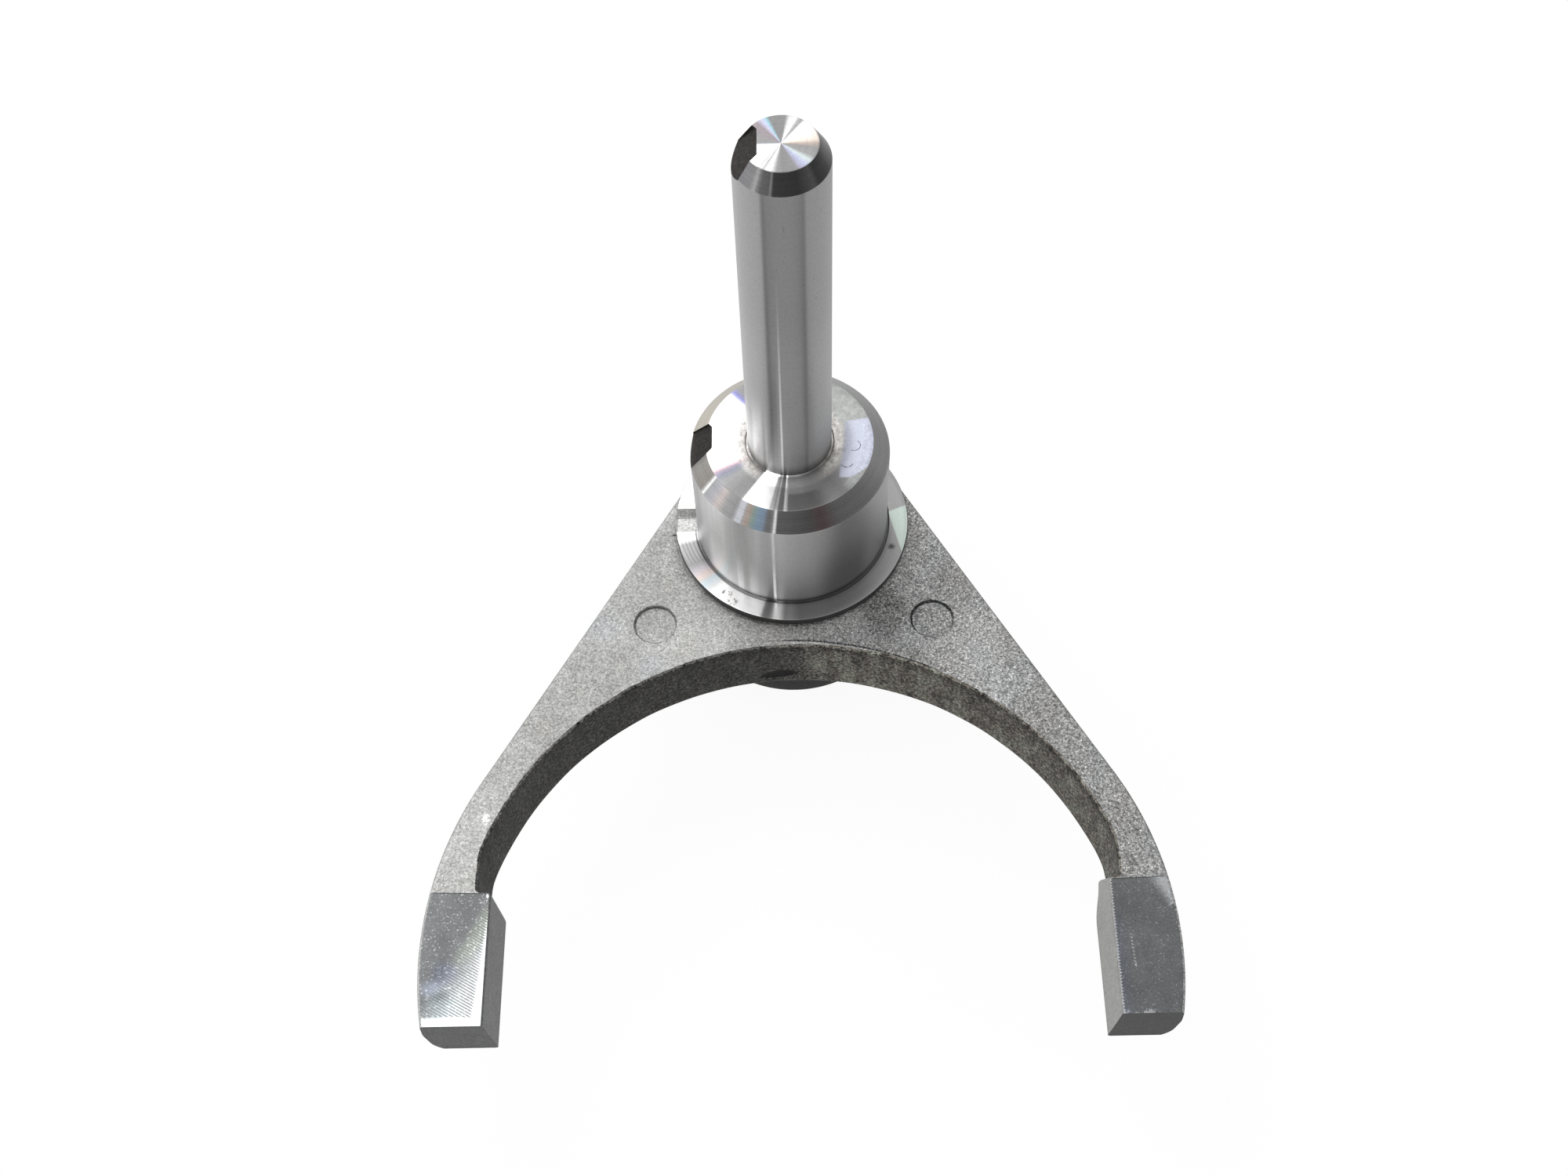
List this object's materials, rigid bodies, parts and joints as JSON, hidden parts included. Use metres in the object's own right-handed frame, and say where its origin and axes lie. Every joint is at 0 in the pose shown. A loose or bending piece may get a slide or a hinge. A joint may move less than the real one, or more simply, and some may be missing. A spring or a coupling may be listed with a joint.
{
  "type": "differential shift fork",
  "caption": "Two-armed shift fork with a turned guide shaft, hub and flange on one side, a round boss on the other, and flat milled pads.",
  "frame": {"origin": "on the spindle's axis, level with the turned upper face of the flange", "axes": "+Z along the spindle towards its tip; the fork's gap opens towards -Y; the pads lie on either side along X"},
  "size_m": [0.1092, 0.1011, 0.1111],
  "materials": {
    "aluminium": "sand-textured die casting with turned and milled faces"
  },
  "bodies": {
    "root": {"shift_fork": "aluminium"}
  },
  "joints": []
}
